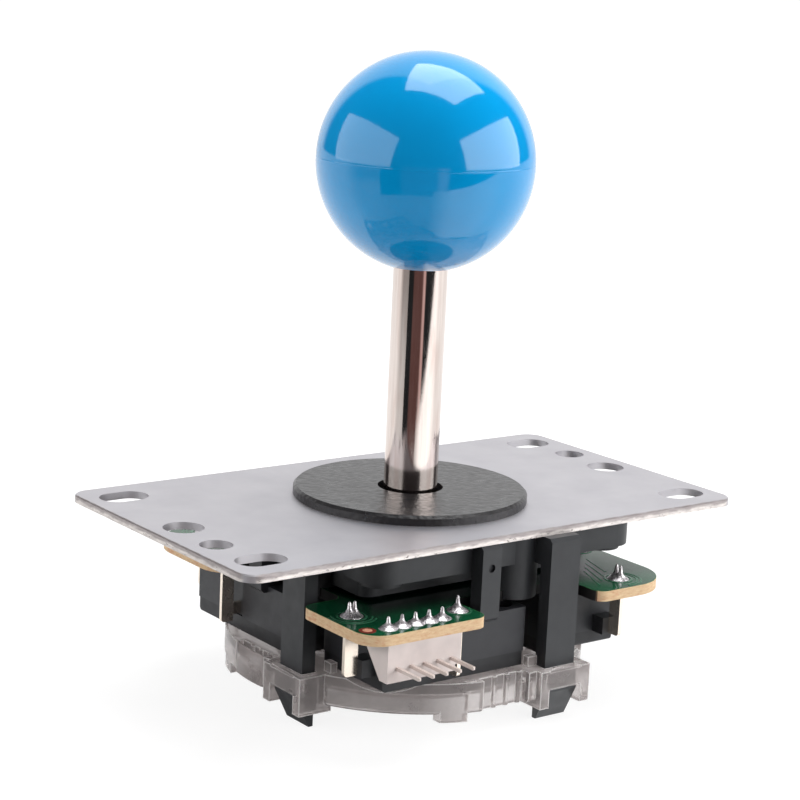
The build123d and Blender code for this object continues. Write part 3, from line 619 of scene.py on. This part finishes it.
rings, tracks = [], []
heaps = [solder_heap(spot, *HEADER_HEAP, [(0, 0)]) for spot in HEADER_JOINTS]
for quarter in range(4):
    for spot, inner, outer in JOINT_RINGS:
        rings.append(washer_mesh(turned(spot, quarter), inner, outer, RING_TOP, RING_DOME))
    paths = [arc(COMMON_JOINT, *track_arc) for track_arc in TRACK_ARCS]
    # The side with the header has the curved tracks alone
    for row in range(ROW_COUNT if quarter else 0):
        x = ROW_START[0] + ROW_STEP[0] * row
        y = ROW_START[1] + ROW_STEP[1] * row
        paths.append([(x, y), (x - ROW_LENGTH, y + ROW_RISE + ROW_FAN * row)])
    tracks += [trace_mesh([turned(point, quarter) for point in path]) for path in paths]
    along = turned((TERMINAL_HALF, 0), quarter)
    back = (-along[0], -along[1])
    heaps.append(solder_heap(turned(CONTACT_JOINT, quarter), *CONTACT_HEAP, [(0, 0)]))
    heaps.append(solder_heap(turned(COMMON_JOINT, quarter), *COMMON_HEAP, [along, back]))

sheet_piece("board_tracks", merge(tracks), finishes["track"], "base")
sheet_piece("board_rings", merge(rings), finishes["track"], "base")
via_rim = washer_mesh(VIA, *VIA_RIM, RING_TOP, VIA_RIM_DOME)
sheet_piece("via_rim", via_rim, finishes["copper_dark"], "base")
via_land = washer_mesh(VIA, *VIA_LAND, VIA_LAND_TOP, VIA_LAND_DOME)
sheet_piece("via_land", via_land, finishes["copper_pale"], "base")
wall = wall_mesh(radius=29.5, thick=0.5, start=166.5, end=187, low=-27.15, high=-22.15)
panel = sheet_piece("gate_wall_left", wall, finishes["clear"], "base")
panel.data.shade_smooth()
solder = sheet_piece("solder_heaps", merge(heaps), finishes["solder"], "base")
solder.data.shade_smooth()
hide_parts("solder_joints")


# Studio

CAMERA_AZIMUTH = -37.21
CAMERA_ELEVATION = 12.03
CAMERA_ROLL = 2.67
CAMERA_PLACE = (-0.207818, -0.269850, 0.088388)
FOCAL_LENGTH = 96.615
TO_RIGHT = (cos(radians(CAMERA_AZIMUTH)), sin(radians(CAMERA_AZIMUTH)), 0)
TO_BACK = (-sin(radians(CAMERA_AZIMUTH)), cos(radians(CAMERA_AZIMUTH)), 0)

WHITE = (1, 1, 1, 1)
SWEEP_FROM, SWEEP_FULL = 0.66, 0.8
ROOM_COLOR = (0.05, 0.04, 0.04, 1)
DARK_SHAPE = (0.02, 0.022, 0.024, 1)
BROWN_FLOOR = (0.14, 0.075, 0.07, 1)
PALE_STRIP = (0.7, 0.48, 0.46, 1)
FLOOR_STOPS = (
    (0.0, DARK_SHAPE),
    (0.27, DARK_SHAPE),
    (0.3, BROWN_FLOOR),
    (0.6, BROWN_FLOOR),
    (0.64, PALE_STRIP),
    (0.69, PALE_STRIP),
    (0.72, DARK_SHAPE),
)

TABLE_SIZE = 12
TABLE_FRONT = 0.2
TABLE_SHADOW = (0.22, 0.22, 0.22, 1)
TABLE_GLOW = 1.05
GLOSSY_SHARE = 0.8
SHADE_REACH = 0.165
SHADE_LEFT, SHADE_RIGHT = -47, 9
LIGHT_AIM = Vector((0, 0, 0.03))


def link(name, data):
    """A new object in the scene."""
    piece = bpy.data.objects.new(name, data)
    bpy.context.scene.collection.objects.link(piece)
    return piece


def facing(azimuth, elevation, roll=0):
    """The turn of a camera or light that looks in from a direction, in degrees."""
    return (
        Matrix.Rotation(radians(azimuth), 4, "Z")
        @ Matrix.Rotation(radians(90 - elevation), 4, "X")
        @ Matrix.Rotation(radians(roll), 4, "Z")
    )


def flat_piece(name, outline, matrix, material):
    """A flat sheet with the given outline."""
    mesh = bpy.data.meshes.new(name)
    mesh.from_pydata([(x, y, 0) for x, y in outline], [], [tuple(range(len(outline)))])
    mesh.materials.append(material)
    piece = link(name, mesh)
    piece.matrix_world = matrix
    return piece


def table_material():
    """White table: bright to the eye and in reflections, with only a soft shadow left on it."""
    g = Graph("table_white")
    matt = g.diffuse(g.mix(g.noise(60), rgb(186, 186, 186), rgb(194, 194, 194)))
    place = g.node("ShaderNodeNewGeometry").outputs["Position"]
    length = g.node("ShaderNodeVectorMath", {0: place}, operation="LENGTH")
    distance = length.outputs["Value"]
    near = g.spread(distance, 0.86, 1.0, 0.08, 0.16)
    parts = g.axes()
    side = g.math("DIVIDE", parts["X"], distance)
    front = g.spread(g.math("DIVIDE", parts["Y"], distance), 1, 0, -0.3, 0)
    # Reflections see it even behind the object; in front it is dimmed at left as painted shade and
    # brightened at right as painted light
    left = g.spread(side, 0.52, 0.25, -0.85, -0.5)
    left = g.math("MULTIPLY", left, g.spread(distance, 1, 0.08, 0.26, 0.42))
    painted_light_and_shade = g.math("ADD", left, g.spread(side, 0, 1.4, 0.1, 0.5))
    change = g.math("MULTIPLY", front, g.math("SUBTRACT", painted_light_and_shade, TABLE_GLOW))
    mirrored_painted_light_and_shade = g.math("ADD", change, TABLE_GLOW)
    path = g.node("ShaderNodeLightPath")
    glossy = path.outputs["Is Glossy Ray"]
    strength = g.math("ADD", near, g.math("MULTIPLY", glossy, g.math("SUBTRACT", mirrored_painted_light_and_shade, near)))
    glow = g.node("ShaderNodeEmission", {"Color": WHITE, "Strength": strength})
    white = g.node("ShaderNodeAddShader", {0: glow.outputs["Emission"], 1: g.diffuse(TABLE_SHADOW)})
    seen = g.math("MAXIMUM", path.outputs["Is Camera Ray"], path.outputs["Is Transmission Ray"])
    seen = g.math("MAXIMUM", seen, g.math("MULTIPLY", glossy, GLOSSY_SHARE))
    g.surface(g.blend(seen, matt, white.outputs["Shader"]))
    return g.material


def softbox(name, azimuth, elevation, distance, width, height, radiance, roll=0):
    """A studio light that faces the object, given by how bright its cloth looks."""
    lamp = bpy.data.lights.new(name, "AREA")
    lamp.shape = "RECTANGLE"
    lamp.size = width
    lamp.size_y = height
    lamp.energy = radiance * pi * width * height
    turn = facing(azimuth, elevation, roll)
    offset = turn @ Vector((0, 0, distance))
    link(name, lamp).matrix_world = Matrix.Translation(LIGHT_AIM + offset) @ turn


def room_tone(g, heading):
    """The dim room: even above the table's level, and dark shapes on a brown floor below it."""
    across = g.spread(g.dot(heading, TO_RIGHT), 0, 1, -1, 1)
    floor = g.node("ShaderNodeValToRGB", {"Fac": across})
    ramp = floor.color_ramp
    while len(ramp.elements) < len(FLOOR_STOPS):
        ramp.elements.new(0.5)
    for element, (position, color) in zip(ramp.elements, FLOOR_STOPS):
        element.position = position
        element.color = color
    parts = g.node("ShaderNodeSeparateXYZ", {"Vector": g.coordinates.outputs["Generated"]})
    below = g.math("LESS_THAN", parts.outputs["Z"], 0)
    return g.mix(below, ROOM_COLOR, floor.outputs["Color"])


def studio_world():
    """A white sweep behind the object and a dim room on the photographer's side."""
    world = bpy.data.worlds.new("studio")
    world.use_nodes = True
    g = Nodes(world.node_tree)
    place = g.coordinates.outputs["Generated"]
    flat = g.node("ShaderNodeVectorMath", {0: place, 1: (1, 1, 0)}, operation="MULTIPLY")
    level = g.node("ShaderNodeVectorMath", {0: flat.outputs["Vector"]}, operation="NORMALIZE")
    heading = level.outputs["Vector"]
    sweep = g.node(
        "ShaderNodeMapRange",
        {"Value": g.dot(heading, TO_BACK), "From Min": SWEEP_FROM, "From Max": SWEEP_FULL},
        interpolation_type="SMOOTHSTEP",
    )
    room = g.mix(sweep.outputs["Result"], room_tone(g, heading), WHITE)
    path = g.node("ShaderNodeLightPath")
    seen = g.math("MAXIMUM", path.outputs["Is Camera Ray"], path.outputs["Is Transmission Ray"])
    g.tree.links.new(g.mix(seen, room, WHITE), g.tree.nodes["Background"].inputs["Color"])
    return world


camera_data = bpy.data.cameras.new("camera")
camera_data.lens = FOCAL_LENGTH
camera_data.sensor_width = 36
camera_data.clip_start = 0.01
camera = link("camera", camera_data)
turn = facing(CAMERA_AZIMUTH, CAMERA_ELEVATION, CAMERA_ROLL)
camera.matrix_world = Matrix.Translation(CAMERA_PLACE) @ turn
bpy.context.scene.camera = camera

# The table's front is cut away where the photographer stands, which the shaft reflects as dark
notch = [radians(SHADE_LEFT + (SHADE_RIGHT - SHADE_LEFT) * step / 4) for step in range(5)]
half_table = TABLE_SIZE / 2
outline = [(-half_table, half_table / tan(radians(SHADE_LEFT)))]
outline += [(SHADE_REACH * sin(angle), -SHADE_REACH * cos(angle)) for angle in notch]
outline += [
    (TABLE_FRONT * tan(radians(SHADE_RIGHT)), -TABLE_FRONT),
    (half_table, -TABLE_FRONT),
    (half_table, half_table),
    (-half_table, half_table),
]
table_turn = Matrix.Rotation(radians(CAMERA_AZIMUTH), 4, "Z")
table_place = table_turn @ Matrix.Translation((0, 0, cad_box[0][2]))
table = flat_piece("table", outline, table_place, table_material())

softbox("softbox_top", 100, 77, distance=0.9, width=0.76, height=0.7, radiance=4.2, roll=24)
softbox("softbox_left", -109, 17, distance=0.95, width=1.4, height=0.6, radiance=2.0)
softbox("softbox_right", 40, 17, distance=0.95, width=1.4, height=0.6, radiance=3.5)
bpy.context.scene.world = studio_world()

bpy.context.scene.view_settings.view_transform = "Standard"
